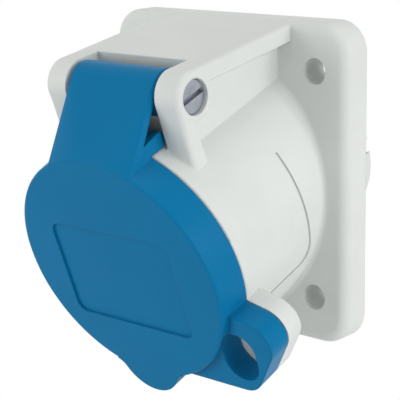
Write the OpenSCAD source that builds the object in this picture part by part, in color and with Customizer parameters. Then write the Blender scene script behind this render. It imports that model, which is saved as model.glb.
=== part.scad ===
// Inclined industrial panel socket with a spring lid, two poles and earth.
// Row frame: X to the right, Z up, Y into the panel. The origin is on the panel face.

/* [Flange] */
// Width of the square flange
flange_w = 80; // [78:0.5:90]
// Height of the square flange
flange_h = 85; // [83:0.5:95]
// Thickness of the flange
flange_t = 8.8; // [8:0.1:11]
// Radius of the flange's corners
flange_corner_r = 8; // [5:0.5:12]
// Radius of the flange's front edge
flange_edge_r = 3; // [1.5:0.25:3.5]
// Fixing hole spacing across
pitch_x = 60; // [58:0.5:62]
// Fixing hole spacing up
pitch_z = 60; // [58:0.5:62]
// Diameter of the fixing holes
fixing_d = 6.8; // [5:0.1:7.5]
// Wall left round the cored pockets in the back of the flange
core_wall = 2.4; // [2:0.2:3]
// Depth of the cored pockets
core_depth = 5.5; // [3:0.5:6]

/* [Barrel] */
// Downward tilt of the socket axis
tilt = 20; // [17:0.5:22]
// Height at which the socket axis meets the panel face
axis_rise = 0.6; // [-0.5:0.1:1.5]
// Outer radius of the barrel
barrel_r = 33.3; // [33:0.1:34]
// Reach of the barrel's front edge along the socket axis
barrel_reach = 45.4; // [44:0.2:48]
// Radius of the plug space
cavity_r = 28.4; // [28.2:0.1:28.6]
// Wall of the sealing rim round the plug space
rim_wall = 1.5; // [1.2:0.1:1.6]
// Reach of the sealing rim beyond the barrel's edge
rim_rise = 3.2; // [2.6:0.1:3.6]
// Reach of the back of the ledge that stops the insert
ledge_reach = 11.6; // [11.4:0.1:13]
// Thickness of that ledge
ledge_t = 3; // [2:0.2:4]
// Width of the keyway in the plug space
keyway_w = 7; // [5:0.5:9]
// Depth of the keyway
keyway_depth = 0.9; // [0.6:0.1:1]
// Width of the split line on the barrel's sides
split_w = 0.6; // [0.4:0.1:0.9]
// Depth of the split line
split_depth = 0.45; // [0.3:0.05:0.6]

/* [Hinge bracket] */
// Distance of the hinge pin behind the barrel's front edge
pin_back = 11.2; // [10.4:0.1:11.8]
// Height of the hinge pin over the barrel's top
pin_over = 8.3; // [8.1:0.1:9]
// Radius of the ears round the pin
ear_r = 6.6; // [6.4:0.1:7]
// Half the space between the ears
ear_gap = 15.2; // [15:0.1:16]
// Half the width of the roof and of the ears
bracket_half = 22.5; // [21.8:0.1:23.5]
// Half the width over the recessed cheeks
cheek_half = 18; // [17.5:0.1:19]
// Slope of the roof up to the flange
roof_slope = 10.6; // [9.5:0.2:11]
// Thickness of the roof
roof_t = 4.4; // [3.5:0.1:5]
// Depth of the legs under the ears, front to back
leg_t = 5.2; // [4.5:0.1:6]
// Radius of the bracket's outer edges
bracket_edge_r = 1.3; // [0.8:0.1:1.6]
// Clearance between the lid's knuckle and the roof
swing_clear = 0.5; // [0.4:0.05:1.5]

/* [Lid] */
// Gap between the barrel's edge and the lid
lid_gap = 0.3; // [0.2:0.05:0.5]
// Depth of the lid from its edge to its face
lid_depth = 9.3; // [9:0.1:10.5]
// Radius of the lid at its edge
lid_r = 33.4; // [33.2:0.1:34]
// How much the lid's radius shrinks towards its face
lid_draft = 0.7; // [0.3:0.1:1]
// Thickness of the lid's wall
lid_wall = 2.4; // [2.2:0.1:2.6]
// Thickness of the lid's face
lid_face_t = 3; // [2.6:0.1:3.4]
// Radius of the edge of the lid's face
lid_edge_r = 0.8; // [0.4:0.1:1.2]
// Width of the shallow label recess
label_w = 40.6; // [30:0.2:42]
// Height of the label recess
label_h = 28; // [20:0.2:30]
// Drop of the label recess below the lid's centre
label_drop = 2.5; // [0:0.1:4]
// Depth of the label recess
label_depth = 0.6; // [0.3:0.05:0.8]

/* [Strap] */
// Half the width of the hinge strap
strap_half = 14.3; // [13.5:0.1:14.4]
// Radius of the knuckle round the pin
knuckle_r = 6.3; // [6:0.1:6.4]
// Radius of the strap's side edges
strap_edge_r = 0.5; // [0.3:0.1:1.2]
// Thickness of the strap
strap_t = 2.3; // [2:0.1:2.4]
// Width of each hinge eye
eye_w = 4.6; // [3.5:0.1:5.5]
// Thickness of each gusset
gusset_t = 2.4; // [2:0.1:3]
// Height of the gussets' top over the barrel's top
gusset_over = 1.6; // [1:0.1:1.9]
// How far the gussets reach back over the barrel
gusset_lap = 5; // [4.4:0.1:5.6]

/* [Locking eye and thumb tongue] */
// Distance of the locking eye's centre to the side
lock_x = 31.9; // [31.5:0.1:33]
// Distance of the locking eye's centre below the axis
lock_drop = 20.6; // [20:0.1:21.5]
// Width of the locking eye
lock_w = 10.6; // [9:0.1:11]
// Height of the locking eye
lock_h = 14.1; // [12:0.1:14.5]
// Wall round the locking eye
lock_wall = 5.7; // [4.8:0.1:5.8]
// Radius of the lug's outer corners
lock_corner_r = 6.5; // [5:0.5:7]
// How far the lid's lug lies behind its face
lug_setback = 2.4; // [1.5:0.1:3]
// Thickness of the housing's lug
lug_t = 5.4; // [4:0.1:7]
// Radius of the thumb tongue
tongue_r = 10; // [9:0.1:11]
// Reach of the thumb tongue below the lid
tongue_drop = 38.1; // [37:0.1:39.5]
// Thickness of the thumb tongue
tongue_t = 5; // [3:0.1:6]
// Radius that blends the tongue into the lid
tongue_blend = 5; // [3:0.25:7]

/* [Hinge pin and spring] */
// Diameter of the pin's head
head_d = 8.9; // [8.4:0.1:9.2]
// Diameter of the pin's shank
shank_d = 6; // [5.4:0.1:6.2]
// How deep the head lies in the ear
head_sink = 0.9; // [0.5:0.1:1.3]
// Width of the screwdriver slot
slot_w = 1.3; // [1:0.1:1.6]
// Depth of the screwdriver slot
slot_depth = 1.4; // [1:0.1:2]
// Turn of the screwdriver slot
slot_turn = 21; // [0:1:180]
// Radial running clearance of the pin in the lid
pin_clear = 0.06; // [0.03:0.01:0.09]
// Diameter of the spring's wire
wire_d = 1.1; // [0.9:0.05:1.2]
// Number of turns of the spring
spring_turns = 7; // [4:1:9]
// Clearance between the spring and the pin
spring_clear = 0.2; // [0.15:0.05:0.3]
// Length of the spring's leg behind the strap
leg_len = 5.5; // [4:0.5:6]

/* [Insert] */
// Radius of the spigot inside the plug space
spigot_r = 23.2; // [23:0.1:23.4]
// How far the spigot's face lies behind the barrel's edge
face_sink = 4.4; // [2.4:0.2:5.4]
// Thickness of the carrier's base
base_t = 8; // [7:0.2:9]
// Radial clearance of the insert in the housing
insert_clear = 0.4; // [0.3:0.05:0.5]
// Length of the terminal block behind the carrier
block_len = 22.5; // [21:0.5:25]
// Floor of the terminal block behind its chambers
block_floor = 4; // [3:0.2:5]
// Radius of the insert's screws from the axis
insert_screw_r = 27; // [26.9:0.05:27.1]
// Diameter of the insert's screws
insert_screw_d = 2.9; // [2.5:0.1:3]
// Diameter of the screw that joins the two halves
carrier_screw_d = 4; // [3:0.1:4.5]

/* [Contacts] */
// Radius of the circle on which the contacts stand
contact_circle = 16; // [15.8:0.1:16.2]
// Diameter of the line and neutral plug pins
pole_pin_d = 6; // [5:0.1:6.1]
// Diameter of the earth plug pin
earth_pin_d = 8; // [7:0.1:8.1]
// Wall of the sleeves
sleeve_wall = 1.25; // [1:0.05:1.3]
// Clearance of the sleeves round the plug pins
pin_room = 0.03; // [0.02:0.01:0.08]
// Depth of the line and neutral sleeves below the spigot's face
sleeve_sink = 4.5; // [4:0.1:6]
// How much nearer to the face the earth sleeve stands
earth_lead = 2; // [1:0.1:3]
// Depth of the pin holes
pin_depth = 24; // [22:0.5:25]
// Width of the slits in the sleeves
slit_w = 0.8; // [0.6:0.1:1]
// Length of the slits
slit_len = 13; // [10:0.5:15]
// Distance of the spring ring behind the sleeve's front
ring_back = 3; // [2:0.2:5]
// Width of the spring ring
ring_w = 2; // [1.4:0.1:2.6]
// Thickness of the spring ring
ring_t = 0.7; // [0.5:0.05:0.8]
// Depth of the spring ring's groove
groove_depth = 0.35; // [0.2:0.05:0.5]
// Radius of the terminals
terminal_r = 5.6; // [5.5:0.1:5.7]
// Diameter of the conductor holes
conductor_d = 5.2; // [4:0.1:5.3]
// Depth of the conductor holes
conductor_depth = 14; // [12:0.5:15]
// Diameter of the terminal screws
terminal_screw_d = 4; // [3.5:0.1:4.2]
// Width of the clamp plates
plate_w = 3; // [2.6:0.1:3.1]
// Thickness of the clamp plates
plate_t = 0.8; // [0.6:0.1:1]
// Length of the clamp plates
plate_len = 6; // [5:0.2:7]
// Distance of the terminal screws from the sleeves' back end
screw_back = 7.5; // [6.5:0.25:8.5]
// Thickness of the terminal screws' heads
screw_head_t = 2; // [1.6:0.1:2.4]

/* [Seals] */
// Width of the lid's seal
lid_seal_w = 4; // [3:0.1:4.2]
// Gap between the lid's seal and the rim
seal_gap = 0.2; // [0.1:0.05:0.3]
// Height of the lip that holds the lid's seal
seal_lip = 1.6; // [1:0.1:2]
// Section of the ring round the insert
insert_seal_t = 1.6; // [1.2:0.1:2]
// Inner radius of the flange's seal
flange_seal_r = 34.4; // [34.2:0.1:34.8]
// Width of the flange's seal
flange_seal_w = 2.6; // [2:0.1:3]
// Depth of the flange's seal
flange_seal_t = 2; // [1.5:0.1:3]

/* [Hidden] */
$fn = 96;

// A little extra, so that cuts run clear of the faces they open
over = 1;
// Reach of anything that is sure to be outside the whole part
far = 200;
// Clearance of a push-in fit, such as a seal in its groove
fit = 0.1;
// How far the legs and the roof stand back from the ears, so that no two round faces just touch
setback = 0.1;
roof_setback = 0.05;
// How far the gussets stand back from the strap's sides, so that no two faces coincide
gusset_setback = 0.05;
// How far the tongue's blends reach into the lid's edge
blend_lap = 0.1;

grey = [0.87, 0.88, 0.87];
blue = [0.03, 0.40, 0.62];
dark_blue = [0.03, 0.25, 0.45];
brass = [0.80, 0.65, 0.35];
steel = [0.62, 0.64, 0.66];
rubber = [0.12, 0.12, 0.13];

// Where the hinge pin and the gussets lie, along the socket axis and over it
pin_reach = barrel_reach - pin_back;
pin_rise = barrel_r + pin_over;
gusset_top = barrel_r + gusset_over;
gusset_back = barrel_reach - gusset_lap;
face_reach = barrel_reach - face_sink;

// Where the hinge pin lies in the row frame
pin_y = -pin_reach * cos(tilt) - pin_rise * sin(tilt);
pin_z = axis_rise - pin_reach * sin(tilt) + pin_rise * cos(tilt);

rim_r = cavity_r + rim_wall;
rim_reach = barrel_reach + rim_rise;
bore_r = min(barrel_r - 2.6, spigot_r + 7);
floor_reach = ledge_reach + ledge_t;
swing_r = knuckle_r + swing_clear;
shank_r = shank_d / 2;
coil_r = shank_r + spring_clear + wire_d / 2;
// Inside of the knuckle between its two eyes, round the spring
shell_r = coil_r + wire_d / 2 + 0.3;
pin_seat_r = head_d / 2 + 0.05;

lid_back = barrel_reach + lid_gap;
lid_front = lid_back + lid_depth;
lid_inner_r = lid_r - lid_wall;
lid_inside = lid_front - lid_face_t;
lug_front = lid_front - lug_setback;

insert_r = bore_r - insert_clear;
base_back = ledge_reach - base_t;
block_back = base_back - block_len;

// Contacts: turn round the axis from three o'clock, pin diameter and how far the sleeve leads
line_turn = 30;
neutral_turn = 150;
earth_turn = 270;
turns = [line_turn, neutral_turn, earth_turn];

sleeve_back = block_back + block_floor + 0.2;
screw_z = sleeve_back + screw_back - 0.2;
screw_head_r = terminal_screw_d * 0.72;
plate_seat = conductor_d / 2 + 0.15;

// Puts the local Z along the socket axis and the local Y up, square to it
module socket_frame() {
    translate([0, 0, axis_rise]) rotate([90 + tilt, 0, 0]) children();
}

// Puts the local Z out of the panel and the local Y up
module panel_frame() {
    rotate([90, 0, 0]) children();
}

// Puts the local Z along the hinge pin, to the right
module pin_frame() {
    translate([0, pin_y, pin_z]) rotate([0, 90, 0]) children();
}

// Stands at one contact, with the local X pointing away from the socket axis
module at_contact(turn) {
    socket_frame() rotate([0, 0, turn]) translate([contact_circle, 0, 0]) children();
}

// Tube or ring between two heights
module ring(outer, inner, low, high) {
    translate([0, 0, low]) difference() {
        cylinder(r = outer, h = high - low);
        translate([0, 0, -over]) cylinder(r = inner, h = high - low + 2 * over);
    }
}

// Round bar between two heights
module bar(r, low, high) {
    translate([0, 0, low]) cylinder(r = r, h = high - low);
}

// Disc whose upper edge is rounded
module rounded_puck(r, h, edge) {
    rotate_extrude() {
        square([r - edge, h]);
        square([r, h - edge]);
        translate([r - edge, h - edge]) intersection() {
            circle(edge);
            square(edge);
        }
    }
}

// Direction from one point to another
function heading(a, b) = atan2(b[1] - a[1], b[0] - a[0]);

// Turn, from the heading between two circles, of the outer line that touches both
function touch(a, b) = heading(a, b) - 90 + asin((a[2] - b[2]) / norm([b[0] - a[0], b[1] - a[1]]));

// Point of a circle at a turn
function on_circle(c, turn) = [c[0] + c[2] * cos(turn), c[1] + c[2] * sin(turn)];

// Outline stretched round circles [x, y, r] that are listed anticlockwise
module round_outline(circles) {
    last = len(circles) - 1;
    polygon([for (i = [0:last])
        let (a = circles[i], b = circles[i == last ? 0 : i + 1])
        for (c = [a, b]) on_circle(c, touch(a, b))]);
    for (c = circles) translate([c[0], c[1]]) circle(c[2]);
}

// Rectangle with round corners, about the origin
module round_rect(w, h, r) {
    x = w / 2 - r;
    y = h / 2 - r;
    round_outline([[x, -y, r], [x, y, r], [-x, y, r], [-x, -y, r]]);
}

// ---------- housing ----------

module at_fixings() {
    for (x = [-1, 1], z = [-1, 1]) panel_frame() translate([x * pitch_x / 2, z * pitch_z / 2]) children();
}

module flange_plate() {
    x = flange_w / 2 - flange_corner_r;
    y = flange_h / 2 - flange_corner_r;
    panel_frame() hull() for (sx = [-1, 1], sy = [-1, 1])
        translate([sx * x, sy * y]) rounded_puck(flange_corner_r, flange_t, flange_edge_r, $fn = 48);
}

// Pockets that keep the moulding's wall even, round the seal's land and the four screw bosses
module flange_cores() {
    land_r = flange_seal_r + flange_seal_w + 1.2;
    boss_r = fixing_d / 2 + core_wall;
    panel_frame() translate([0, 0, -over]) linear_extrude(core_depth + over) difference() {
        round_rect(flange_w - 2 * core_wall, flange_h - 2 * core_wall, flange_corner_r - core_wall);
        circle(land_r);
        for (x = [-1, 1], y = [-1, 1]) translate([x * pitch_x / 2, y * pitch_z / 2]) {
            circle(boss_r);
            rotate(x * y * 45) square([core_wall, 4 * boss_r], center = true);
        }
        square([core_wall, flange_h], center = true);
        square([flange_w, core_wall], center = true);
    }
}

module barrel() {
    socket_frame() {
        bar(barrel_r - 0.6, -barrel_r * tan(tilt) - over, barrel_reach);
        bar(barrel_r, -barrel_r * tan(tilt) - over, barrel_reach - 0.6);
        translate([0, 0, barrel_reach - 0.6]) rotate_extrude()
            translate([barrel_r - 0.6, 0]) circle(0.6, $fn = 24);
        bar(rim_r, barrel_reach - over, rim_reach);
    }
}

// Roof between the flange and the pin, with its two long edges rounded
module roof() {
    run = (-pin_y - flange_t + flange_edge_r * 0.8) / cos(roof_slope);
    half = bracket_half - roof_setback;
    translate([0, pin_y, pin_z]) rotate([roof_slope, 0, 0]) rotate([-90, 0, 0])
        linear_extrude(run) translate([0, roof_setback - ear_r]) difference() {
            translate([-half, 0]) square([2 * half, roof_t]);
            for (side = [-1, 1]) translate([side * half, 0]) difference() {
                square(2 * bracket_edge_r, center = true);
                translate([-side * bracket_edge_r, bracket_edge_r]) circle(bracket_edge_r);
            }
        }
}

// Upright leg from the pin down into the barrel, its two outer edges rounded
module leg(side) {
    socket_frame() translate([0, pin_rise, 0]) rotate([90, 0, 0])
        linear_extrude(pin_rise - cavity_r * 0.8) mirror([side < 0 ? 1 : 0, 0]) translate([-setback, -setback]) {
            translate([ear_gap, pin_reach + ear_r - leg_t])
                square([bracket_half - ear_gap - bracket_edge_r, leg_t]);
            translate([ear_gap, pin_reach + ear_r - leg_t + bracket_edge_r])
                square([bracket_half - ear_gap, leg_t - 2 * bracket_edge_r]);
            for (z = [pin_reach + ear_r - leg_t + bracket_edge_r, pin_reach + ear_r - bracket_edge_r])
                translate([bracket_half - bracket_edge_r, z]) circle(bracket_edge_r, $fn = 32);
        }
}

module ear(side) {
    pin_frame() mirror([0, 0, side < 0 ? 1 : 0]) translate([0, 0, ear_gap])
        rounded_puck(ear_r, bracket_half - ear_gap, bracket_edge_r);
    leg(side);
}

// Side wall under the roof, set back from the ears
module cheek(side) {
    top = [pin_y, pin_z];
    flange_y = -flange_t + over;
    rise = (flange_y - pin_y) * tan(roof_slope);
    foot = -(barrel_reach - over) * cos(tilt);
    translate([side > 0 ? ear_gap : -cheek_half, 0, 0]) rotate([90, 0, 90])
        linear_extrude(cheek_half - ear_gap) polygon([
            top,
            [top[0], top[1] - pin_rise * 0.4],
            [flange_y, axis_rise + cavity_r * 0.6],
            [flange_y, top[1] + rise + ear_r - roof_t / 2]]);
}

module lug_outline() {
    corner = 4;
    reach = lock_w / 2 + lock_wall;
    drop = lock_h / 2 + 3.4;
    round_outline([
        [lock_x + reach - lock_corner_r, -lock_drop + lock_h / 2 - 2.2, lock_corner_r],
        [lid_r * 0.7, -lock_drop + lock_h / 2 + 1.2, lock_corner_r],
        [lid_r * 0.35, -lock_drop - drop + corner, corner],
        [lock_x + reach / 2 - lock_corner_r, -lock_drop - drop + lock_corner_r, lock_corner_r]]);
}

module lock_hole(grow) {
    half = (lock_h - lock_w) / 2;
    round_outline([
        [lock_x, -lock_drop - half, lock_w / 2 + grow],
        [lock_x, -lock_drop + half, lock_w / 2 + grow]]);
}

// Fine split line: an L with a round corner, seen from the side and sunk into the barrel's skin
module split_lines() {
    back = floor_reach + 2.8;
    drop = barrel_r * 0.41;
    rise = barrel_r * 0.53;
    front = barrel_reach - lug_t - 1;
    bend = 4;
    socket_frame() intersection() {
        ring(barrel_r + over, barrel_r - split_depth, floor_reach, barrel_reach);
        rotate([90, 0, 90]) translate([0, 0, -far / 2]) linear_extrude(far) difference() {
            square_between([-drop, back], [rise, front]) circle(bend);
            square_between([-drop + split_w, back + split_w], [rise + over, front + over])
                circle(bend - split_w);
        }
    }
}

// Rectangle between two corners, its lower left corner shaped by the child circle
module square_between(low, high) {
    r = 4;
    translate([low[0] + r, low[1]]) square([high[0] - low[0] - r, high[1] - low[1]]);
    translate([low[0], low[1] + r]) square([high[0] - low[0], high[1] - low[1] - r]);
    translate([low[0] + r, low[1] + r]) children();
}

module housing() {
    color(grey) difference() {
        union() {
            flange_plate();
            barrel();
            roof();
            for (side = [-1, 1]) {
                ear(side);
                cheek(side);
            }
            socket_frame() translate([0, 0, barrel_reach - lug_t]) linear_extrude(lug_t) lug_outline();
        }
        // Nothing reaches behind the panel face
        translate([-far / 2, 0, -far / 2]) cube(far);
        // Plug space, rear bore and the ledge's opening
        socket_frame() {
            bar(cavity_r, floor_reach, rim_reach + over);
            bar(spigot_r + insert_clear, ledge_reach - over, floor_reach + over);
            bar(bore_r, -far / 2, ledge_reach);
            translate([-keyway_w / 2, -cavity_r - keyway_depth, floor_reach])
                cube([keyway_w, cavity_r, rim_reach]);
            for (turn = [0, 180]) rotate([0, 0, turn]) translate([insert_screw_r, 0, 0])
                bar(insert_screw_d / 2 - 0.1, ledge_reach - over, floor_reach - 0.6);
            translate([0, 0, barrel_reach - lug_t - over]) linear_extrude(lug_t + 2 * over) lock_hole(0);
        }
        // Notch in the roof for the knuckle, a hair wider than the space between the ears
        translate([0, pin_y, pin_z]) rotate([roof_slope, 0, 0]) translate([-ear_gap - setback, -over, 0])
            cube([2 * (ear_gap + setback), swing_r + over, 2 * ear_r]);
        // The pin's two seats
        pin_frame() {
            bar(pin_seat_r, ear_gap - over, bracket_half + over);
            bar(shank_r + 0.03, -bracket_half + 1.6, -ear_gap + over);
        }
        at_fixings() bar(fixing_d / 2, -over, flange_t + over);
        flange_cores();
        panel_frame() ring(flange_seal_r + flange_seal_w + fit, flange_seal_r - fit, -over, flange_seal_t);
        split_lines();
    }
}

module flange_seal() {
    color(rubber) panel_frame() ring(flange_seal_r + flange_seal_w, flange_seal_r, 0, flange_seal_t);
}

// ---------- lid ----------

module lid_disc() {
    front_r = lid_r - lid_draft;
    socket_frame() translate([0, 0, lid_back]) rotate_extrude() {
        polygon([[0, 0], [lid_r, 0], [front_r, lid_depth - lid_edge_r],
            [front_r - lid_edge_r, lid_depth], [0, lid_depth]]);
        translate([front_r - lid_edge_r, lid_depth - lid_edge_r]) circle(lid_edge_r, $fn = 48);
    }
}

// Slice of the face's edge under the strap, drawn in by a wall
module strap_root(half, wall) {
    inward = wall * 0.7;
    intersection() {
        bar(lid_r - lid_draft - inward - 0.3, lid_front - inward - 1.2, lid_front - inward - 0.1);
        translate([-half, lid_r * 0.72, 0]) cube([2 * half, lid_r, far]);
    }
}

module knuckle(half, r) {
    translate([-half, pin_rise, pin_reach]) rotate([0, 90, 0]) cylinder(r = r, h = 2 * half, $fn = 64);
}

// Plate from the knuckle to the lid's face, its surface stretched between the two
module strap() {
    socket_frame() difference() {
        hull() {
            knuckle(strap_half - strap_edge_r, knuckle_r);
            knuckle(strap_half, knuckle_r - strap_edge_r);
            strap_root(strap_half - strap_edge_r, 0);
            strap_root(strap_half, strap_edge_r);
        }
        hull() {
            for (back = [0, pin_rise]) translate([0, -back, -back]) {
                knuckle(strap_half + over, shell_r);
                strap_root(strap_half + over, strap_t);
            }
            translate([0, 0, -pin_rise]) knuckle(strap_half + over, shell_r);
        }
    }
}

module hinge_eyes() {
    for (side = [-1, 1]) pin_frame() mirror([0, 0, side < 0 ? 1 : 0])
        bar(knuckle_r - 0.5, strap_half - eye_w, strap_half - 0.2);
}

// Ribs at both edges of the strap, between the lid's wall and its back
module gussets() {
    for (side = [0, 1]) mirror([side, 0, 0]) socket_frame()
        translate([strap_half - gusset_t - gusset_setback, 0, 0]) rotate([90, 0, 90]) linear_extrude(gusset_t) polygon([
            [barrel_r * 0.85, lid_back + 1],
            [gusset_top - 3.8, gusset_back],
            [gusset_top - 0.4, gusset_back],
            [gusset_top, gusset_back + 0.5],
            [gusset_top - 1, pin_reach + pin_rise - gusset_top + 1 + knuckle_r * 1.414 - strap_t],
            [lid_r * 0.85, lid_front - lid_edge_r * 2]]);
}

module tongue_outline() {
    front_r = lid_r - lid_draft - blend_lap;
    centre = -tongue_drop + tongue_r;
    // Centre of the blend, by the three side lengths between the circles' centres
    a = front_r + tongue_blend;
    b = tongue_r + tongue_blend;
    c = -centre;
    y = -(a * a - b * b + c * c) / (2 * c);
    x = sqrt(a * a - y * y);
    difference() {
        union() {
            translate([0, centre]) circle(tongue_r);
            polygon([[0, 0], [-x, y], [0, centre], [x, y]]);
        }
        for (side = [-1, 1]) translate([side * x, y]) circle(tongue_blend);
    }
}

module lid() {
    color(blue) difference() {
        union() {
            lid_disc();
            strap();
            hinge_eyes();
            gussets();
            socket_frame() {
                translate([0, 0, lid_back]) linear_extrude(lug_front - lid_back) lug_outline();
                translate([0, 0, lid_front - tongue_t]) linear_extrude(tongue_t) tongue_outline();
            }
        }
        socket_frame() {
            // Inside of the cap, leaving the lip that holds the seal
            difference() {
                bar(lid_inner_r, lid_back - over, lid_inside);
                ring(lid_inner_r - lid_seal_w - 0.8, lid_inner_r - lid_seal_w - 2.2,
                    lid_inside - seal_lip, lid_inside + over);
            }
            // The barrel's edge under the gussets
            bar(barrel_r + 0.5, pin_reach, lid_back);
            translate([0, -label_drop, lid_front - label_depth]) linear_extrude(label_depth + over)
                round_rect(label_w, label_h, 3);
            translate([0, 0, lid_back - over]) linear_extrude(lid_depth) lock_hole(0);
        }
        pin_frame() bar(shank_r + pin_clear, -strap_half - over, strap_half + over);
    }
}

module lid_seal() {
    color(rubber) socket_frame() ring(lid_inner_r - 0.6, lid_inner_r - 0.6 - lid_seal_w,
        rim_reach + seal_gap, lid_inside);
}

// ---------- hinge ----------

module hinge_pin() {
    top = bracket_half - head_sink;
    color(steel) pin_frame() difference() {
        union() {
            bar(head_d / 2, ear_gap + 0.2, top - 0.3);
            translate([0, 0, top - 0.3]) cylinder(r1 = head_d / 2, r2 = head_d / 2 - 0.3, h = 0.3);
            bar(shank_r, -bracket_half + 1.9, ear_gap + over);
        }
        rotate([0, 0, slot_turn]) translate([-slot_w / 2, -head_d, top - slot_depth])
            cube([slot_w, 2 * head_d, slot_depth + over]);
    }
}

// Tube round a list of points, drawn as rings of corners square to the path
module wire(points, r) {
    sides = 8;
    last = len(points) - 1;
    function along(i) = points[min(i + 1, last)] - points[max(i - 1, 0)];
    function across(v) = cross(v, abs(v[2]) < 0.9 * norm(v) ? [0, 0, 1] : [0, 1, 0]);
    function unit(v) = v / norm(v);
    corners = [for (i = [0:last])
        let (t = unit(along(i)), u = unit(across(t)), w = cross(t, u))
        for (k = [0:sides - 1]) points[i] + r * (cos(360 * k / sides) * u + sin(360 * k / sides) * w)];
    sides_faces = [for (i = [0:last - 1], k = [0:sides - 1])
        let (n = (k + 1) % sides)
        [i * sides + k, i * sides + n, (i + 1) * sides + n, (i + 1) * sides + k]];
    ends = [[for (k = [sides - 1:-1:0]) k], [for (k = [0:sides - 1]) last * sides + k]];
    polyhedron(corners, concat(sides_faces, ends));
}

// Torsion spring: a helix on the pin, one leg behind the strap and one resting on the barrel
module lid_spring() {
    pitch = wire_d * 1.15;
    // Turns are measured from the socket axis, upwards
    strap_turn = 45;
    dip = 60;
    rest_turn = dip - 90 - 360 * spring_turns;
    rest_len = (pin_rise - barrel_r - wire_d / 2 + 0.25 - coil_r * cos(dip)) / sin(dip);
    steps = 20 * spring_turns;
    span = pitch * (strap_turn - rest_turn) / 360;
    function coil(i) = let (turn = strap_turn + (rest_turn - strap_turn) * i / steps)
        [span * (i / steps - 0.5), coil_r * sin(turn), coil_r * cos(turn)];
    front = coil(0) + leg_len * [0, -cos(strap_turn), sin(strap_turn)];
    back = coil(steps) + rest_len * [0, -sin(dip), -cos(dip)];
    color(steel) socket_frame() translate([0, pin_rise, pin_reach])
        wire(concat([front], [for (i = [0:steps]) coil(i)], [back]), wire_d / 2);
}

// ---------- insert ----------

// Shape of one contact's room in the insert
module contact_room(turn, pin_d, lead) {
    front = face_reach - sleeve_sink + lead;
    sleeve = pin_d / 2 + pin_room + sleeve_wall;
    at_contact(turn) {
        bar(pin_d / 2 + 0.4, front - over, face_reach + over);
        translate([0, 0, face_reach - 0.6])
            cylinder(r1 = pin_d / 2 + 0.4, r2 = pin_d / 2 + 0.4 + 1.6, h = 1.6);
        bar(sleeve + ring_t + 0.1, front - slit_len + ring_w, front + 0.3);
        bar(sleeve + fit, base_back - over, front);
    }
}

module each_contact_room() {
    contact_room(line_turn, pole_pin_d, 0);
    contact_room(neutral_turn, pole_pin_d, 0);
    contact_room(earth_turn, earth_pin_d, earth_lead);
}

module at_insert_screws() {
    for (turn = [0, 180]) socket_frame() rotate([0, 0, turn]) translate([insert_screw_r, 0, 0]) children();
}

module contact_carrier() {
    groove_low = base_back + base_t / 2 - insert_seal_t / 2;
    color(dark_blue) difference() {
        socket_frame() {
            bar(spigot_r, ledge_reach - over, face_reach - 0.8);
            translate([0, 0, face_reach - 0.8]) cylinder(r1 = spigot_r, r2 = spigot_r - 0.8, h = 0.8);
            bar(insert_r, base_back, ledge_reach);
        }
        each_contact_room();
        at_insert_screws() bar(insert_screw_d / 2 + 0.2, base_back - over, ledge_reach + over);
        socket_frame() {
            ring(insert_r + over, bore_r - insert_seal_t - 2 * fit, groove_low - fit,
                groove_low + insert_seal_t + fit);
            bar(carrier_screw_d / 2 - 0.05, base_back - over, base_back + 12);
            // Keyway for the plug's key, in line with the housing's
            translate([-keyway_w / 2, -spigot_r - over, floor_reach])
                cube([keyway_w, over + 1, face_reach]);
        }
    }
}

module terminal_block() {
    shoulder = 3;
    color(grey) difference() {
        socket_frame() {
            bar(insert_r - 0.3, block_back + 1, base_back);
            translate([0, 0, block_back]) cylinder(r1 = insert_r - 1.3, r2 = insert_r - 0.3, h = 1);
        }
        for (turn = turns) at_contact(turn) {
            bar(terminal_r + fit, block_back + block_floor, base_back + over);
            bar(conductor_d / 2 + 0.3, block_back - over, block_back + block_floor + over);
            translate([0, 0, block_back - over])
                cylinder(r1 = conductor_d / 2 + 2.6, r2 = conductor_d / 2 + 0.6, h = 3);
            translate([0, 0, screw_z]) rotate([0, 90, 0]) bar(screw_head_r + 0.35, terminal_r / 2, far / 4);
        }
        at_insert_screws() {
            bar(insert_screw_d / 2 + 0.2, block_back - over, base_back + over);
            bar(insert_screw_d + 0.2, block_back - over, base_back - shoulder);
        }
        socket_frame() {
            bar(carrier_screw_d / 2 + 0.2, block_back - over, base_back + over);
            bar(carrier_screw_d + 0.3, block_back - over, base_back - block_len / 2);
            // Lightening web between the chambers
            for (turn = turns) rotate([0, 0, turn + 60]) translate([insert_r * 0.62, 0, block_back - over])
                cylinder(r = 4.2, h = block_len * 0.6);
        }
    }
}

// Sleeve with a slit spring end in front and a screw terminal at the back
module sleeve(turn, pin_d, lead) {
    front = face_reach - sleeve_sink + lead;
    outer = pin_d / 2 + pin_room + sleeve_wall;
    color(brass) at_contact(turn) difference() {
        union() {
            bar(outer, sleeve_back, front);
            bar(terminal_r, sleeve_back, base_back - 0.2);
        }
        bar(pin_d / 2 + pin_room, front - pin_depth, front + over);
        translate([0, 0, front - 0.6])
            cylinder(r1 = pin_d / 2 + pin_room, r2 = pin_d / 2 + pin_room + 0.7, h = 0.7);
        bar(conductor_d / 2, sleeve_back - over, sleeve_back + conductor_depth);
        for (a = [45, 135]) rotate([0, 0, a]) translate([-slit_w / 2, -outer - over, front - slit_len])
            cube([slit_w, 2 * outer + 2 * over, slit_len + over]);
        // Groove for the spring ring
        ring(outer + over, outer - groove_depth, front - ring_back - ring_w - fit, front - ring_back + fit);
        // Window for the clamp plate, and the screw's thread
        translate([0, -plate_w / 2 - 0.05, screw_z - plate_len / 2 - 0.1])
            cube([plate_seat + plate_t + 0.05, plate_w + 0.1, plate_len + 0.2]);
        translate([0, 0, screw_z]) rotate([0, 90, 0]) bar(terminal_screw_d / 2 + 0.02, 0, terminal_r + over);
    }
}

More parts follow.
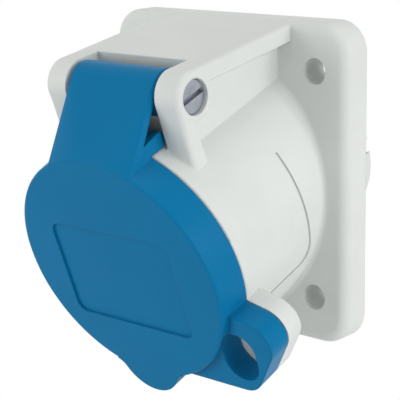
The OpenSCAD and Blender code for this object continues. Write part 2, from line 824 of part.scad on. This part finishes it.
module line_sleeve() sleeve(line_turn, pole_pin_d, 0);
module neutral_sleeve() sleeve(neutral_turn, pole_pin_d, 0);
module earth_sleeve() sleeve(earth_turn, earth_pin_d, earth_lead);

// Open spring ring in the sleeve's groove
module sleeve_ring(turn, pin_d, lead) {
    front = face_reach - sleeve_sink + lead;
    inner = pin_d / 2 + pin_room + sleeve_wall - groove_depth + 0.05;
    color(steel) at_contact(turn) difference() {
        ring(inner + ring_t, inner, front - ring_back - ring_w, front - ring_back);
        rotate([0, 0, 20]) translate([0, -slit_w / 2, front - ring_back - 2 * ring_w])
            cube([far, slit_w, 3 * ring_w]);
    }
}

module line_sleeve_ring() sleeve_ring(line_turn, pole_pin_d, 0);
module neutral_sleeve_ring() sleeve_ring(neutral_turn, pole_pin_d, 0);
module earth_sleeve_ring() sleeve_ring(earth_turn, earth_pin_d, earth_lead);

module clamp_plate(turn) {
    color(steel) at_contact(turn) translate([plate_seat, -plate_w / 2, screw_z - plate_len / 2])
        cube([plate_t, plate_w, plate_len]);
}

module line_clamp_plate() clamp_plate(line_turn);
module neutral_clamp_plate() clamp_plate(neutral_turn);
module earth_clamp_plate() clamp_plate(earth_turn);

// Slotted screw along the local Z, its tip at the origin
module slotted_screw(d, len, head_r, head_t) {
    difference() {
        union() {
            bar(d / 2 - 0.02, 0, len);
            bar(head_r, len, len + head_t);
        }
        translate([-head_r - over, -d * 0.1, len + head_t * 0.45]) cube([2 * head_r + 2 * over, d * 0.2, head_t]);
    }
}

module terminal_screws() {
    tip = plate_seat + plate_t + 0.02;
    color(steel) for (turn = turns) at_contact(turn) translate([tip, 0, screw_z]) rotate([0, 90, 0])
        slotted_screw(terminal_screw_d, terminal_r + 0.4 - tip, screw_head_r, screw_head_t);
}

module insert_screws() {
    seat = base_back - 3;
    tip = floor_reach - 1;
    color(steel) at_insert_screws() translate([0, 0, tip]) mirror([0, 0, 1])
        slotted_screw(insert_screw_d - 0.2, tip - seat, insert_screw_d - 0.1, 1.6);
}

module carrier_screw() {
    seat = base_back - block_len / 2;
    tip = base_back + 10;
    color(steel) socket_frame() translate([0, 0, tip]) mirror([0, 0, 1])
        slotted_screw(carrier_screw_d - 0.1, tip - seat, carrier_screw_d * 0.9, 2.4);
}

module insert_seal() {
    low = base_back + base_t / 2 - insert_seal_t / 2;
    color(rubber) socket_frame() ring(bore_r - fit, bore_r - fit - insert_seal_t, low, low + insert_seal_t);
}

housing();
flange_seal();
lid();
lid_seal();
hinge_pin();
lid_spring();
contact_carrier();
terminal_block();
line_sleeve();
neutral_sleeve();
earth_sleeve();
line_sleeve_ring();
neutral_sleeve_ring();
earth_sleeve_ring();
line_clamp_plate();
neutral_clamp_plate();
earth_clamp_plate();
terminal_screws();
insert_screws();
carrier_screw();
insert_seal();
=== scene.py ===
"""Dresses the panel socket: moulded plastics, rubber, brass and steel finishes, the soft fillets
of the mouldings, and a plain studio."""

import math

import bmesh
import bpy
import numpy as np
from bpy.props import FloatProperty, FloatVectorProperty, PointerProperty
from mathutils import Matrix, Vector


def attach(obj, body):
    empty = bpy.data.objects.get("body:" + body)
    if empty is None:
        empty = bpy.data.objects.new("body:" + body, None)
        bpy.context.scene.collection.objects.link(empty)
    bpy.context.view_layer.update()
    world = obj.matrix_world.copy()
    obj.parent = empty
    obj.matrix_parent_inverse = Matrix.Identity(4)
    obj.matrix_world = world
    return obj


bl_info = {
    "name": "Panel Socket Finish",
    "version": (1, 0, 0),
    "blender": (4, 2, 0),
    "location": "View3D > Sidebar > Panel Socket",
    "description": "Finishes, fillets and studio for an inclined industrial panel socket",
    "category": "Object",
}

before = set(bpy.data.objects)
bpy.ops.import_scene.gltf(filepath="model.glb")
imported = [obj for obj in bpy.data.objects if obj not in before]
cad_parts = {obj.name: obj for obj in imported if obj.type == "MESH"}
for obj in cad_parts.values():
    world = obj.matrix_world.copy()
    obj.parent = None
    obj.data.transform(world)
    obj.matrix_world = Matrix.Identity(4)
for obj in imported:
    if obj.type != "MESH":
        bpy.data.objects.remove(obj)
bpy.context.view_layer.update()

MM = 0.001
TILT = math.radians(20)
# The socket's own axes: out of the mouth, sideways and up, square to it
OUT = np.array([0.0, -math.cos(TILT), -math.sin(TILT)])
SIDE = np.array([1.0, 0.0, 0.0])
UP = np.array([0.0, -math.sin(TILT), math.cos(TILT)])
RISE = np.array([0.0, 0.0, 0.6])

# Sizes of the housing that its fillets follow, in millimetres
BARREL_R = 33.3
FLANGE_T = 8.8
CHEEK_HALF = 18.0
LEG_INNER, LEG_OUTER = 15.2, 22.4
LEG_BACK, LEG_FRONT = 35.5, 40.7
LEG_EDGE_R = 1.3
# Where the cheeks' foot starts, inside the flange, and how far an end runs into what it meets
CHEEK_START = -8.0
END_SINK = 1.0
# Heights between which the cheeks stand free in front of the flange
CHEEK_LOW, CHEEK_TOP = 26.5, 37.6

# Texture cells to the metre: mottling, flow marks and grain of the plastics, bloom of the rubber,
# turning lines and dulling of the metals
MOTTLE, FLOW, GRAIN = 45.0, 160.0, 2600.0
BLOOM = 380.0
TURNING, DULLING = 900.0, 240.0
# Depths of grain and bloom, and of turning lines, in metres
GRAIN_DEPTH, TURNING_DEPTH = 0.00005, 0.00004
METAL_EDGE = 0.00015
# Shares of a plastic's colour in its deepest and palest mottles
DEEPEST, PALEST = 0.975, 1.02
# Roughness and gloss of the mouldings
GREY_FINISH = (0.46, 0.25)
BLUE_FINISH = (0.36, 0.06)
NAVY_FINISH = (0.42, 0.15)
BLOCK_FINISH = (0.50, 0.25)

# Softboxes: name, place and width in metres
LAMP_AIM = Vector((0.0, -0.03, -0.005))
LAMPS = (("key", (0.86, 0.02, 0.16), 0.50), ("fill", (-0.46, -0.80, 0.12), 0.60),
         ("top", (0.05, -0.10, 0.85), 0.60))
# Floor: radius, brightness, and the distances between which it fades into white
FLOOR_R, FLOOR_TONE = 4.0, 0.86
FADE_START, FADE_END = 0.28, 0.42
# Camera: turn to the right, rise and roll in degrees, place in metres, lens and sensor in millimetres
CAMERA_TURN, CAMERA_RISE, CAMERA_ROLL = 41.99, 13.89, -1.42
CAMERA_AIM, CAMERA_DISTANCE = Vector((0.0, -0.03, -0.0049)), 0.36273
CAMERA_LENS, CAMERA_SENSOR = 124.12, 36.0
CAMERA_SHIFT = (0.0653, 0.0110)


# ---------------------------------------------------------------- node helpers


class Sock:
    """A shader socket that takes part in Python sums, each of which adds a Math node."""

    def __init__(self, tree, socket):
        self.tree, self.socket = tree, socket

    def _math(self, operation, first, second=None, clamp=False):
        values = {0: first} if second is None else {0: first, 1: second}
        settings = {"operation": operation, "use_clamp": clamp}
        return self.tree.node("ShaderNodeMath", settings, values)

    def __add__(self, other):
        return self._math("ADD", self, other)

    def __radd__(self, other):
        return self._math("ADD", other, self)

    def __sub__(self, other):
        return self._math("SUBTRACT", self, other)

    def __rsub__(self, other):
        return self._math("SUBTRACT", other, self)

    def __mul__(self, other):
        return self._math("MULTIPLY", self, other)

    def __rmul__(self, other):
        return self._math("MULTIPLY", other, self)

    def clamped(self):
        """The value held between 0 and 1."""
        return self._math("ADD", self, 0.0, clamp=True)


class Tree:
    """Adds nodes to one material's or world's tree."""

    def __init__(self, owner):
        owner.use_nodes = True
        self.tree = owner.node_tree
        self.tree.nodes.clear()

    def node(self, kind, settings=None, inputs=None, output=0):
        """Adds a node: its settings first, then the values or links of its sockets."""
        made = self.tree.nodes.new(kind)
        for name, value in (settings or {}).items():
            setattr(made, name, value)
        for name, value in (inputs or {}).items():
            if isinstance(value, Sock):
                self.tree.links.new(value.socket, made.inputs[name])
            else:
                made.inputs[name].default_value = value
        return Sock(self, made.outputs[output]) if made.outputs else None

    def noise(self, place, scale, detail=2.0, roughness=0.5):
        """Noise between 0 and 1 on the object's own coordinates."""
        inputs = {"Vector": place, "Scale": scale, "Detail": detail, "Roughness": roughness}
        return self.node("ShaderNodeTexNoise", None, inputs)

    def ramp(self, value, low, high):
        """0 below low, 1 above high and a smooth climb between."""
        inputs = {"Value": value, "From Min": low, "From Max": high, "To Min": 0.0, "To Max": 1.0}
        return self.node("ShaderNodeMapRange", {"interpolation_type": "SMOOTHSTEP"}, inputs)

    def mix(self, factor, first, second):
        """A blend of two colours."""
        inputs = {0: factor, 6: first, 7: second}
        return self.node("ShaderNodeMix", {"data_type": "RGBA"}, inputs, output=2)

    def object_place(self):
        """The object's own coordinates, in metres."""
        return self.node("ShaderNodeTexCoord", output="Object")


def rgba(colour):
    """A colour property as four numbers."""
    return (*tuple(colour)[:3], 1.0)


def surface(tree, inputs):
    """One Principled shader into the material's output."""
    shader = tree.node("ShaderNodeBsdfPrincipled", None, inputs)
    tree.node("ShaderNodeOutputMaterial", None, {"Surface": shader})


# ---------------------------------------------------------------- materials


def moulded_plastic(name, colour, finish, edge, grain):
    """Moulded plastic: broad mottling a few centimetres long, a fine spark-eroded grain from the
    mould, and edges rounded by a small radius. The finish is its roughness and its gloss."""
    rough, gloss = finish
    material = bpy.data.materials.new(name)
    tree = Tree(material)
    place = tree.object_place()
    broad = tree.noise(place, MOTTLE, 3.0)
    fine = tree.noise(place, GRAIN, 2.0)
    flow = tree.noise(place, FLOW, 4.0, 0.6)
    deep = [part * DEEPEST for part in colour]
    pale = [min(part * PALEST, 1.0) for part in colour]
    tint = tree.mix(tree.ramp(broad * 0.7 + flow * 0.3, 0.35, 0.65), rgba(deep), rgba(pale))
    rounded = tree.node("ShaderNodeBevel", {"samples": 6}, {"Radius": edge})
    bump = tree.node("ShaderNodeBump", None,
                     {"Strength": grain, "Distance": GRAIN_DEPTH, "Height": fine, "Normal": rounded})
    surface(tree, {"Base Color": tint, "Roughness": rough + (flow - 0.5) * 0.10,
                   "Specular IOR Level": gloss, "Normal": bump})
    return material


def rubber(name, colour):
    """Dull rubber with a faint dusty bloom."""
    material = bpy.data.materials.new(name)
    tree = Tree(material)
    place = tree.object_place()
    bloom = tree.noise(place, BLOOM, 3.0)
    dusty = [part + 0.035 for part in colour]
    tint = tree.mix(tree.ramp(bloom, 0.4, 0.8), rgba(colour), rgba(dusty))
    bump = tree.node("ShaderNodeBump", None,
                     {"Strength": 0.25, "Distance": GRAIN_DEPTH, "Height": bloom})
    surface(tree, {"Base Color": tint, "Roughness": 0.62 + bloom * 0.2, "Normal": bump})
    return material


def turned_metal(name, colour, rough, stretch):
    """Turned or drawn metal: fine lines across the part's length, and slight dulling. The stretch
    packs the lines closer along each axis."""
    material = bpy.data.materials.new(name)
    tree = Tree(material)
    place = tree.object_place()
    lines_place = tree.node("ShaderNodeMapping", None, {"Vector": place, "Scale": stretch})
    lines = tree.noise(lines_place, TURNING, 2.0)
    dull = tree.noise(place, DULLING, 3.0)
    dulled = [part * 0.8 for part in colour]
    tint = tree.mix(tree.ramp(dull, 0.35, 0.75), rgba(colour), rgba(dulled))
    rounded = tree.node("ShaderNodeBevel", {"samples": 4}, {"Radius": METAL_EDGE})
    bump = tree.node("ShaderNodeBump", None,
                     {"Strength": 0.3, "Distance": TURNING_DEPTH, "Height": lines, "Normal": rounded})
    surface(tree, {"Base Color": tint, "Metallic": 1.0,
                   "Roughness": rough + lines * 0.12 + dull * 0.06, "Normal": bump})
    return material


def put_on(obj, material):
    """Gives the object one material."""
    obj.data.materials.clear()
    obj.data.materials.append(material)


# ---------------------------------------------------------------- mesh helpers


def grid_mesh(name, points, closed=False):
    """A mesh from a grid of points (rows, columns, 3) in metres, each row joined up into a ring and
    each pair of neighbouring rows joined by four-sided faces. A closed one ends in the first row
    again; otherwise a closed skin of rings gets a flat face at both ends."""
    rows, columns = points.shape[:2]
    index = np.arange(rows * columns).reshape(rows, columns)
    below = index if closed else index[:-1]
    above = np.roll(index, -1, axis=0) if closed else index[1:]
    faces = np.stack([below, above, np.roll(above, -1, axis=1), np.roll(below, -1, axis=1)], axis=-1)
    mesh = bpy.data.meshes.new(name)
    ends = [] if closed else [index[0].tolist(), index[-1].tolist()]
    mesh.from_pydata(points.reshape(-1, 3).tolist(), [], faces.reshape(-1, 4).tolist() + ends)
    work = bmesh.new()
    work.from_mesh(mesh)
    bmesh.ops.recalc_face_normals(work, faces=work.faces)
    work.to_mesh(mesh)
    work.free()
    mesh.polygons.foreach_set("use_smooth", np.ones(len(mesh.polygons), dtype=bool))
    mesh.set_sharp_from_angle(angle=math.radians(35))
    obj = bpy.data.objects.new(name, mesh)
    bpy.context.scene.collection.objects.link(obj)
    return obj


def rolled_fillet(centre, to_one, to_other, ball_r):
    """Grid of a fillet, one row for each place of a ball that touches two surfaces at once.

    Each row is the ball's arc between its two points of touch, followed by one corner just inside
    the solids, on the line from the ball's centre to where the two touched planes cross."""
    arc_points, corner_sink = 10, 1.1
    turn = np.arccos(np.clip(np.sum(to_one * to_other, axis=1), -1, 1))[:, None, None]
    share = np.linspace(0, 1, arc_points)[None, :, None]
    first, second = to_one[:, None], to_other[:, None]
    arc = (np.sin((1 - share) * turn) * first + np.sin(share * turn) * second) / np.sin(turn)
    corner = (first + second) * corner_sink / (1 + np.cos(turn))
    return (centre[:, None] + ball_r * np.concatenate([arc, corner], axis=1)) * MM


def root_fillet(ball_r):
    """Concave fillet where the tilted barrel meets the flange.

    For each turn round the barrel the ball's centre is on a cylinder round the socket axis, one
    ball radius outside the barrel, where it is one ball radius in front of the flange."""
    turn = np.linspace(0, 2 * math.pi, 160, endpoint=False)[:, None]
    radial = np.cos(turn) * SIDE + np.sin(turn) * UP
    reach = (BARREL_R + ball_r) * radial + RISE
    along = (-FLANGE_T - ball_r - reach[:, 1:2]) / OUT[1]
    to_flange = np.broadcast_to([0.0, 1.0, 0.0], radial.shape)
    return rolled_fillet(reach + along * OUT, -radial, to_flange, ball_r)


def foot_fillet(x, out, face_x, face_out, ball_r):
    """Concave fillet where upright walls stand on the barrel.

    x and out are points along the walls' foot, sideways and along the socket axis, and face_x and
    face_out the walls' outward directions there. The ball's centre is one ball radius outside the
    wall, at the height where it is one ball radius outside the barrel."""
    face = face_x[:, None] * SIDE + face_out[:, None] * OUT
    side = x + ball_r * face_x
    rise = np.sqrt((BARREL_R + ball_r) ** 2 - side ** 2)
    to_axis = -(side[:, None] * SIDE + rise[:, None] * UP) / (BARREL_R + ball_r)
    centre = side[:, None] * SIDE + (out + ball_r * face_out)[:, None] * OUT + rise[:, None] * UP + RISE
    return rolled_fillet(centre, -face, to_axis, ball_r)


def cheek_foot(hand, ball_r):
    """Straight fillet under one cheek, from inside the flange to inside the leg. The hand is 1 on
    the right and -1 on the left."""
    out = np.linspace(CHEEK_START, LEG_BACK + END_SINK, 24)
    full = np.ones_like(out)
    return foot_fillet(hand * CHEEK_HALF * full, out, hand * full, 0 * full, ball_r)


def cheek_back(hand, ball_r):
    """Upright fillet where one cheek meets the flange, from inside the barrel to inside the roof.

    At each height the ball's centre is one ball radius outside the cheek and one in front of the
    flange."""
    height = np.linspace(CHEEK_LOW, CHEEK_TOP, 8)
    sideways = np.full_like(height, hand * (CHEEK_HALF + ball_r))
    ahead = np.full_like(height, -FLANGE_T - ball_r)
    centre = np.stack([sideways, ahead, height], axis=1)
    to_cheek = np.broadcast_to(-hand * SIDE, centre.shape)
    to_flange = np.broadcast_to([0.0, 1.0, 0.0], centre.shape)
    return rolled_fillet(centre, to_cheek, to_flange, ball_r)


def leg_foot(hand, ball_r):
    """Fillet round the foot of one leg: its back, its rounded outer edges, its side and its front.

    The leg's outline is two quarter circles with straight runs between them and inwards."""
    quarter = np.linspace(0, math.pi / 2, 9)
    turn = np.concatenate([[-math.pi / 2], quarter - math.pi / 2, quarter, [math.pi / 2]])
    inner_x, middle = LEG_OUTER - LEG_EDGE_R, (LEG_BACK + LEG_EDGE_R, LEG_FRONT - LEG_EDGE_R)
    x = inner_x + LEG_EDGE_R * np.cos(turn)
    x[0], x[-1] = CHEEK_HALF - END_SINK, LEG_INNER
    out = np.repeat(middle, len(turn) // 2) + LEG_EDGE_R * np.sin(turn)
    return foot_fillet(hand * x, out, hand * np.cos(turn), np.sin(turn), ball_r)


# ---------------------------------------------------------------- settings


class PlasticSettings(bpy.types.PropertyGroup):
    """Colours and textures of the mouldings."""

    grey: FloatVectorProperty(name="Housing colour", description="Colour of the grey mouldings",
                              default=(0.725, 0.752, 0.728), min=0, max=1, subtype="COLOR")
    blue: FloatVectorProperty(name="Lid colour", description="Colour of the lid",
                              default=(0.003, 0.175, 0.378), min=0, max=1, subtype="COLOR")
    navy: FloatVectorProperty(name="Carrier colour", description="Colour of the contact carrier",
                              default=(0.01, 0.09, 0.25), min=0, max=1, subtype="COLOR")
    edge: FloatProperty(name="Edge radius", description="Radius that softens the mouldings' edges",
                        default=0.0005, min=0, max=0.002, unit="LENGTH")
    grain: FloatProperty(name="Grain", description="Strength of the mould's grain",
                         default=0.12, min=0, max=1, subtype="FACTOR")


class MetalSettings(bpy.types.PropertyGroup):
    """Colours of the metal and rubber pieces."""

    steel: FloatVectorProperty(name="Steel colour", description="Colour of pin, spring and screws",
                               default=(0.36, 0.385, 0.43), min=0, max=1, subtype="COLOR")
    brass: FloatVectorProperty(name="Brass colour", description="Colour of the contacts",
                               default=(0.74, 0.55, 0.27), min=0, max=1, subtype="COLOR")
    rubber: FloatVectorProperty(name="Rubber colour", description="Colour of the seals",
                                default=(0.02, 0.02, 0.021), min=0, max=1, subtype="COLOR")


class FilletSettings(bpy.types.PropertyGroup):
    """Sizes of the added fillets."""

    root: FloatProperty(name="Barrel root", description="Radius where the barrel meets the flange",
                        default=0.0012, min=0.0005, max=0.004, unit="LENGTH")
    foot: FloatProperty(name="Bracket foot", description="Radius where cheeks and legs meet the barrel",
                        default=0.0007, min=0.0005, max=0.003, unit="LENGTH")


class StudioSettings(bpy.types.PropertyGroup):
    """Light and floor."""

    key: FloatProperty(name="Key light", description="Power of the main softbox", default=3.7,
                       min=0, unit="POWER")
    fill: FloatProperty(name="Fill light", description="Power of the front softbox", default=3.0,
                        min=0, unit="POWER")
    top: FloatProperty(name="Top light", description="Power of the overhead softbox", default=1.7,
                       min=0, unit="POWER")
    ambient: FloatProperty(name="Ambient", description="Strength of the light from all round",
                           default=0.42, min=0, max=2)
    floor_drop: FloatProperty(name="Floor depth", description="Floor below the panel's centre",
                              default=0.24, min=0.06, unit="LENGTH")


# ---------------------------------------------------------------- operators


class SOCKET_OT_plastics(bpy.types.Operator):
    """Finish the mouldings in grained plastic"""

    bl_idname = "panel_socket.plastics"
    bl_label = "Moulded plastics"

    def execute(self, context):
        chosen = context.scene.socket_plastic
        grey = moulded_plastic("grey_plastic", chosen.grey, GREY_FINISH, chosen.edge, chosen.grain)
        blue = moulded_plastic("blue_plastic", chosen.blue, BLUE_FINISH, chosen.edge, chosen.grain)
        navy = moulded_plastic("carrier_plastic", chosen.navy, NAVY_FINISH, chosen.edge, chosen.grain)
        pale = moulded_plastic("block_plastic", chosen.grey, BLOCK_FINISH, chosen.edge * 0.6, chosen.grain)
        for node, material in (("housing", grey), ("lid", blue), ("contact_carrier", navy),
                               ("terminal_block", pale)):
            put_on(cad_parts[node], material)
        return {"FINISHED"}


class SOCKET_OT_metals(bpy.types.Operator):
    """Finish the pin, spring, screws, contacts and seals"""

    bl_idname = "panel_socket.metals"
    bl_label = "Metals and rubber"

    def execute(self, context):
        chosen = context.scene.socket_metal
        pin = turned_metal("pin_steel", chosen.steel, 0.30, (1.0, 6.0, 6.0))
        wire = turned_metal("spring_steel", chosen.steel, 0.28, (4.0, 1.0, 1.0))
        screw = turned_metal("screw_steel", [part * 1.1 for part in chosen.steel], 0.32, (3.0, 3.0, 3.0))
        brass = turned_metal("contact_brass", chosen.brass, 0.26, (1.0, 8.0, 1.0))
        seal = rubber("seal_rubber", chosen.rubber)
        for name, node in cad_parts.items():
            if name == "hinge_pin":
                put_on(node, pin)
            elif name.endswith("_seal"):
                put_on(node, seal)
            elif name.endswith("_sleeve"):
                put_on(node, brass)
            elif name == "lid_spring" or name.endswith("_ring"):
                put_on(node, wire)
            elif name.endswith(("_plate", "_screw", "_screws")):
                put_on(node, screw)
        return {"FINISHED"}


class SOCKET_OT_fillets(bpy.types.Operator):
    """Add the soft fillets of the housing moulding"""

    bl_idname = "panel_socket.fillets"
    bl_label = "Housing fillets"

    def execute(self, context):
        chosen = context.scene.socket_fillet
        plastic = context.scene.socket_plastic
        # Its skins run smoothly into the housing, so this grey has no rounded edges of its own
        grey = moulded_plastic("fillet_plastic", plastic.grey, GREY_FINISH, 0.0, plastic.grain)
        root, foot = chosen.root / MM, chosen.foot / MM
        pieces = [grid_mesh("barrel_root_fillet", root_fillet(root), closed=True)]
        for hand, side in ((1, "right"), (-1, "left")):
            pieces.append(grid_mesh(f"{side}_cheek_fillet", cheek_foot(hand, foot)))
            pieces.append(grid_mesh(f"{side}_cheek_back_fillet", cheek_back(hand, foot)))
            pieces.append(grid_mesh(f"{side}_leg_fillet", leg_foot(hand, foot)))
        for piece in pieces:
            put_on(piece, grey)
            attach(piece, "base")
        return {"FINISHED"}


class SOCKET_OT_studio(bpy.types.Operator):
    """Set up the floor, the soft lights and the camera"""

    bl_idname = "panel_socket.studio"
    bl_label = "Studio"

    def execute(self, context):
        chosen = context.scene.socket_studio
        scene = context.scene
        scene.view_settings.view_transform = "Standard"
        self.world(scene, chosen)
        self.floor(chosen)
        for name, place, size in LAMPS:
            self.softbox(f"{name}_softbox", place, size, getattr(chosen, name))
        self.camera(scene)
        return {"FINISHED"}

    def looked_at(self, tree):
        """1 for rays that come from the camera, or by way of metal or glass, and 0 for the others."""
        camera, glossy, through = (
            tree.node("ShaderNodeLightPath", output=f"Is {ray} Ray")
            for ray in ("Camera", "Glossy", "Transmission"))
        return (camera + glossy + through).clamped()

    def world(self, scene, chosen):
        """A pale room all round, and pure white where it is looked at."""
        world = bpy.data.worlds.new("studio")
        scene.world = world
        tree = Tree(world)
        room = tree.node("ShaderNodeBackground", None, {"Color": (1, 1, 1, 1), "Strength": chosen.ambient})
        white = tree.node("ShaderNodeBackground", None, {"Color": (1, 1, 1, 1), "Strength": 1.0})
        both = tree.node("ShaderNodeMixShader", None, {0: self.looked_at(tree), 1: room, 2: white})
        tree.node("ShaderNodeOutputWorld", None, {"Surface": both})

    def floor(self, chosen):
        """Pale floor as a round plate, matt near its centre and fading into the white around it."""
        bpy.ops.mesh.primitive_circle_add(vertices=96, radius=FLOOR_R, fill_type="NGON")
        floor = bpy.context.object
        floor.name = "floor"
        floor.data.transform(Matrix.Translation((0, 0, -chosen.floor_drop)))
        material = bpy.data.materials.new("pale_floor")
        tree = Tree(material)
        place = tree.object_place()
        away = tree.node("ShaderNodeVectorMath", {"operation": "LENGTH"}, {0: place}, output=1)
        matt = tree.node("ShaderNodeBsdfDiffuse", None, {"Color": rgba([FLOOR_TONE] * 3)})
        white = tree.node("ShaderNodeEmission", None, {"Color": (1, 1, 1, 1), "Strength": 1.0})
        seen = self.looked_at(tree) * tree.ramp(away, FADE_START, FADE_END)
        both = tree.node("ShaderNodeMixShader", None, {0: seen, 1: matt, 2: white})
        tree.node("ShaderNodeOutputMaterial", None, {"Surface": both})
        put_on(floor, material)

    def softbox(self, name, place, size, power):
        """A square area lamp facing the socket."""
        lamp = bpy.data.lights.new(name, "AREA")
        lamp.energy, lamp.size = power, size
        obj = bpy.data.objects.new(name, lamp)
        obj.location = place
        obj.rotation_euler = (LAMP_AIM - Vector(place)).to_track_quat("-Z", "Y").to_euler()
        bpy.context.scene.collection.objects.link(obj)

    def camera(self, scene):
        """Camera to the right of the socket and a little above it, rolled slightly."""
        turn, rise, roll = map(math.radians, (CAMERA_TURN, CAMERA_RISE, CAMERA_ROLL))
        level = math.cos(rise)
        ahead = Vector((-math.sin(turn) * level, math.cos(turn) * level, -math.sin(rise)))
        right = Vector((math.cos(turn), math.sin(turn), 0.0))
        up = right.cross(ahead)
        right, up = (right * math.cos(roll) + up * math.sin(roll),
                     up * math.cos(roll) - right * math.sin(roll))
        lens = bpy.data.cameras.new("studio_camera")
        lens.sensor_width, lens.lens = CAMERA_SENSOR, CAMERA_LENS
        lens.shift_x, lens.shift_y = CAMERA_SHIFT
        camera = bpy.data.objects.new("studio_camera", lens)
        facing = Matrix((right, up, -ahead)).transposed().to_4x4()
        camera.matrix_world = Matrix.Translation(CAMERA_AIM - ahead * CAMERA_DISTANCE) @ facing
        scene.collection.objects.link(camera)
        scene.camera = camera


class SOCKET_PT_panel(bpy.types.Panel):
    """Lists the socket's finishing steps"""

    bl_idname = "SOCKET_PT_panel"
    bl_label = "Panel Socket"
    bl_space_type = "VIEW_3D"
    bl_region_type = "UI"
    bl_category = "Panel Socket"

    def draw(self, context):
        for group, step in STEPS:
            box = self.layout.box()
            if group:
                settings = getattr(context.scene, group)
                for name in settings.__annotations__:
                    box.prop(settings, name)
            box.operator(step.bl_idname)


GROUPS = {"socket_plastic": PlasticSettings, "socket_metal": MetalSettings,
          "socket_fillet": FilletSettings, "socket_studio": StudioSettings}
STEPS = (("socket_plastic", SOCKET_OT_plastics), ("socket_metal", SOCKET_OT_metals),
         ("socket_fillet", SOCKET_OT_fillets), ("socket_studio", SOCKET_OT_studio))


def register():
    """Registers the settings, the steps and the panel."""
    for cls in (*GROUPS.values(), *(step for _, step in STEPS), SOCKET_PT_panel):
        bpy.utils.register_class(cls)
    for name, cls in GROUPS.items():
        setattr(bpy.types.Scene, name, PointerProperty(type=cls))


def unregister():
    """Takes everything back out."""
    for name in GROUPS:
        delattr(bpy.types.Scene, name)
    for cls in (SOCKET_PT_panel, *(step for _, step in reversed(STEPS)), *reversed(GROUPS.values())):
        bpy.utils.unregister_class(cls)


def main():
    """Runs every step in order."""
    register()
    for _, step in STEPS:
        group, name = step.bl_idname.split(".")
        getattr(getattr(bpy.ops, group), name)()


if __name__ == "__main__":
    main()
